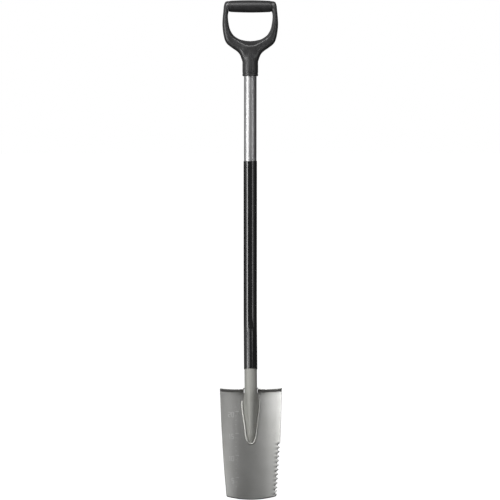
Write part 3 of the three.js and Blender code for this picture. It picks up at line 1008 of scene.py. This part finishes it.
def build_handle():
    """The D and its socket as one moulding, with a seat for the grip, a bore for the tube and a lip."""
    body = join(d_ring(), neck())
    blend(body)
    make_socket_round(body)
    seat = GRIP_HALF_LENGTH + CLEARANCE
    outside = 2 * GRIP_MIDDLE_RADIUS
    seat_profile = [(CORE_RADIUS, -seat), (outside, -seat), (outside, seat), (CORE_RADIUS, seat)]
    grip_seat = turned("grip_seat", seat_profile, along_crossbar)
    bore_ends = (-MOUTH_DROP - 4, SOCKET_DEPTH)
    bore = lofted("bore", [[on_handle(x, y, z) for x, y in circle(SOCKET_BORE)] for z in bore_ends])
    floor, outside = SOCKET_RADIUS - GROOVE_DEPTH, SOCKET_RADIUS + 2
    groove_profile = [(floor, LIP_HEIGHT - 1), (outside, LIP_HEIGHT - 1.6)]
    groove_profile += [(outside, LIP_HEIGHT + 1.2), (floor, LIP_HEIGHT + 0.6)]
    groove = turned("groove", groove_profile, on_handle)
    cut_away(body, grip_seat, bore, groove)
    dress(body, HANDLE_PLASTIC, "handle_plastic", "handle_body", crease=50)


def build_grip():
    """The soft barrel on the crossbar: fullest in the middle, with a flat land at each end."""
    half = GRIP_HALF_LENGTH
    end = GRIP_END_RADIUS
    right = []
    for x in np.linspace(0, half - GRIP_LAND - 1.2, 40):
        right.append((lerp(GRIP_MIDDLE_RADIUS, end + 0.4, (x / half) ** 2), x))
    right += [(end - 0.1, half - GRIP_LAND), (end, half - GRIP_LAND + 0.4)]
    right += [(end, half - 0.9), (end - 0.25, half - 0.3), (end - 0.9, half)]
    left = [(radius, -x) for radius, x in reversed(right[1:])]
    bore = CORE_RADIUS + CLEARANCE
    profile = [(bore, -half), *left, *right, (bore, half)]
    grip = turned("crossbar_sleeve", profile, along_crossbar)
    dress(grip, GRIP_RUBBER, "grip_rubber", "crossbar_grip", crease=50)


def build_screw():
    """A round-headed screw with a cross recess, in the back of the socket."""
    low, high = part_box("handle_screw")
    seat = high.y / MM - SHAFT_Y - SCREW_HEAD_HEIGHT
    shank = low.y / MM - SHAFT_Y
    height = (low.z + high.z) / 2 / MM

    def facing_back(x, y, z):
        return Vector((x, z + SHAFT_Y, y + height)) * MM

    thick = SCREW_SHANK_RADIUS
    profile = [(NEAR_AXIS, shank), (thick - 0.4, shank + 0.4), (thick, shank + 1.2)]
    profile += [(thick, seat - 0.2), (SCREW_HEAD_RADIUS - 0.3, seat - 0.2)]
    for angle in np.linspace(0, SCREW_DOME_END, 12):
        profile.append((SCREW_HEAD_RADIUS * math.cos(angle), seat + SCREW_HEAD_HEIGHT * math.sin(angle)))
    rings = [[facing_back(x, y, z) for x, y in circle(radius, SCREW_SIDES)] for radius, z in profile]
    screw = lofted("socket_screw", rings)
    tools = []
    long, short = CROSS_HALF_LENGTH, CROSS_HALF_WIDTH
    for wide, tall in ((long, short), (short, long)):
        corners = [(wide, tall), (-wide, tall), (-wide, -tall), (wide, -tall)]
        floor = [facing_back(x * CROSS_TAPER, y * CROSS_TAPER, seat + CROSS_FLOOR) for x, y in corners]
        mouth = [facing_back(x, y, seat + 4) for x, y in corners]
        tools.append(lofted("slot", [floor, mouth]))
    cut_away(screw, *tools)
    dress(screw, FASTENER_STEEL, "fastener_steel", "handle_screw", crease=35)


# ---------------------------------------------------------------- hidden joint inside the shaft


def keep_cad(name, material):
    """A CAD node whose own shape is right: it stays, with a procedural material."""
    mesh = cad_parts[name].data
    mesh.materials.clear()
    mesh.materials.append(material)


# ---------------------------------------------------------------- stage, in metres

FLOOR_HALF_SIZE = 30.0
CAMERA_DISTANCE = 3.0
CAMERA_HEIGHT = 0.8599
CAMERA_AZIMUTH = -1.5  # in degrees
CAMERA_LENS = 93.62  # in millimetres
AIM_HEIGHT = 0.5599
AIM_X = -0.0006
SHAFT_MIDDLE = (0, SHAFT_Y * MM, 0.6)
BLADE_MIDDLE = (0, 0, 0.15)
UPPER_BLADE = (0, 0, 0.2)
HANDLE_MIDDLE = (0, 0.05, 1.0)

# Axis, a range of a direction's component along it, and the dim light's strength at the range's two ends.
SURROUND = (("X", -0.6, 0.7, 0.5, 0.07), ("Y", -0.9, 0.2, 0.2, 1.0))


def world_light():
    """White to the camera. To everything else it is dim, lightest behind on the left, darkest in front."""
    world = bpy.data.worlds.new("surround")
    bpy.context.scene.world = world
    world.use_nodes = True
    nodes, links = world.node_tree.nodes, world.node_tree.links
    nodes.clear()
    direction = nodes.new("ShaderNodeTexCoord").outputs["Generated"]
    parts = nodes.new("ShaderNodeSeparateXYZ")
    links.new(direction, parts.inputs["Vector"])
    sides = []
    for axis, from_low, from_high, low, high in SURROUND:
        side = nodes.new("ShaderNodeMapRange")
        side.inputs["From Min"].default_value = from_low
        side.inputs["From Max"].default_value = from_high
        side.inputs["To Min"].default_value = low
        side.inputs["To Max"].default_value = high
        links.new(parts.outputs[axis], side.inputs["Value"])
        sides.append(side.outputs["Result"])
    strength = nodes.new("ShaderNodeMath")
    strength.operation = "MULTIPLY"
    links.new(sides[0], strength.inputs[0])
    links.new(sides[1], strength.inputs[1])
    dim = nodes.new("ShaderNodeBackground")
    links.new(strength.outputs["Value"], dim.inputs["Strength"])
    bright = nodes.new("ShaderNodeBackground")
    bright.inputs["Color"].default_value = (1, 1, 1, 1)
    bright.inputs["Strength"].default_value = 1.0
    path = nodes.new("ShaderNodeLightPath")
    mix = nodes.new("ShaderNodeMixShader")
    output = nodes.new("ShaderNodeOutputWorld")
    links.new(path.outputs["Is Camera Ray"], mix.inputs["Fac"])
    links.new(dim.outputs["Background"], mix.inputs[1])
    links.new(bright.outputs["Background"], mix.inputs[2])
    links.new(mix.outputs["Shader"], output.inputs["Surface"])


def softbox(name, place, target, width, height, power):
    """A soft light at a place, turned to a target. Its power is in watts."""
    light = bpy.data.lights.new(name, "AREA")
    light.shape = "RECTANGLE"
    light.size = width
    light.size_y = height
    light.energy = power
    obj = bpy.data.objects.new(name, light)
    obj.location = place
    obj.rotation_euler = (Vector(target) - Vector(place)).to_track_quat("-Z", "Y").to_euler()
    bpy.context.collection.objects.link(obj)


def build_floor():
    """A plain floor that the camera sees as white, and that throws only a little light back up."""
    size = FLOOR_HALF_SIZE
    corners = [(-size, -size, 0), (size, -size, 0), (size, size, 0), (-size, size, 0)]
    floor = mesh_object("floor", corners, [(0, 1, 2, 3)])
    finish = Finish("pale_floor", metallic=0.0, roughness=0.9)
    finish.colour(finish.mixed(finish.grain(300), (0.16, 0.16, 0.16), (0.19, 0.19, 0.19)))
    seen = finish.nodes.new("ShaderNodeLightPath").outputs["Is Camera Ray"]
    finish.shader.inputs["Emission Color"].default_value = (1, 1, 1, 1)
    finish.links.new(seen, finish.shader.inputs["Emission Strength"])
    floor.data.materials.append(finish.material)


def around_shaft(azimuth, distance, height):
    """A place at a distance from the shaft. Azimuth 0 is in front, and positive is to the right."""
    angle = math.radians(azimuth)
    return Vector((distance * math.sin(angle), SHAFT_Y * MM - distance * math.cos(angle), height))


def build_lights():
    """Key and side boxes on the left, weaker fills on the right, and boxes from above for the handle."""
    softbox("key_box", around_shaft(-54, 2.2, 0.55), SHAFT_MIDDLE, 0.62, 1.16, 17.5)
    softbox("side_box", around_shaft(-75, 2.2, 0.53), SHAFT_MIDDLE, 0.5, 1.05, 2.4)
    softbox("blade_box", around_shaft(-33, 2.4, 1.62), BLADE_MIDDLE, 0.8, 0.8, 6.2)
    softbox("fill_box", around_shaft(38, 2.6, 0.38), SHAFT_MIDDLE, 0.5, 0.95, 4.2)
    softbox("high_fill_box", around_shaft(34, 2.6, 1.75), UPPER_BLADE, 0.7, 0.5, 3.3)
    softbox("far_fill_box", around_shaft(60, 2.4, 0.42), SHAFT_MIDDLE, 0.6, 1.0, 1.4)
    softbox("front_box", around_shaft(-5, 2.4, 2.3), SHAFT_MIDDLE, 0.6, 0.5, 5)
    softbox("top_box_left", around_shaft(-20, 1.7, 2.8), HANDLE_MIDDLE, 0.7, 0.4, 28)
    softbox("top_box_right", around_shaft(20, 1.7, 2.8), HANDLE_MIDDLE, 0.7, 0.4, 15)


def build_camera():
    """The photograph's view, at the assumed distance that its height and lens were solved for."""
    camera = bpy.data.objects.new("camera", bpy.data.cameras.new("camera"))
    camera.data.sensor_width = 36
    camera.data.lens = CAMERA_LENS
    camera.location = around_shaft(CAMERA_AZIMUTH, CAMERA_DISTANCE, CAMERA_HEIGHT)
    aim = Vector((AIM_X, SHAFT_Y * MM, AIM_HEIGHT))
    camera.rotation_euler = (aim - camera.location).to_track_quat("-Z", "Y").to_euler()
    bpy.context.collection.objects.link(camera)
    bpy.context.scene.camera = camera
    bpy.context.scene.view_settings.view_transform = "Standard"


# ---------------------------------------------------------------- the whole

build_blade()
build_depth_scale()
build_lower_shaft()
build_blade_weld()
build_tread_weld(-1, "left")
build_tread_weld(1, "right")
build_upper_tube()
build_sleeve()
build_handle()
build_grip()
build_screw()
for hidden in ("joint_spigot", "lower_joint_pin", "upper_joint_pin"):
    keep_cad(hidden, FASTENER_STEEL)
world_light()
build_floor()
build_lights()
build_camera()
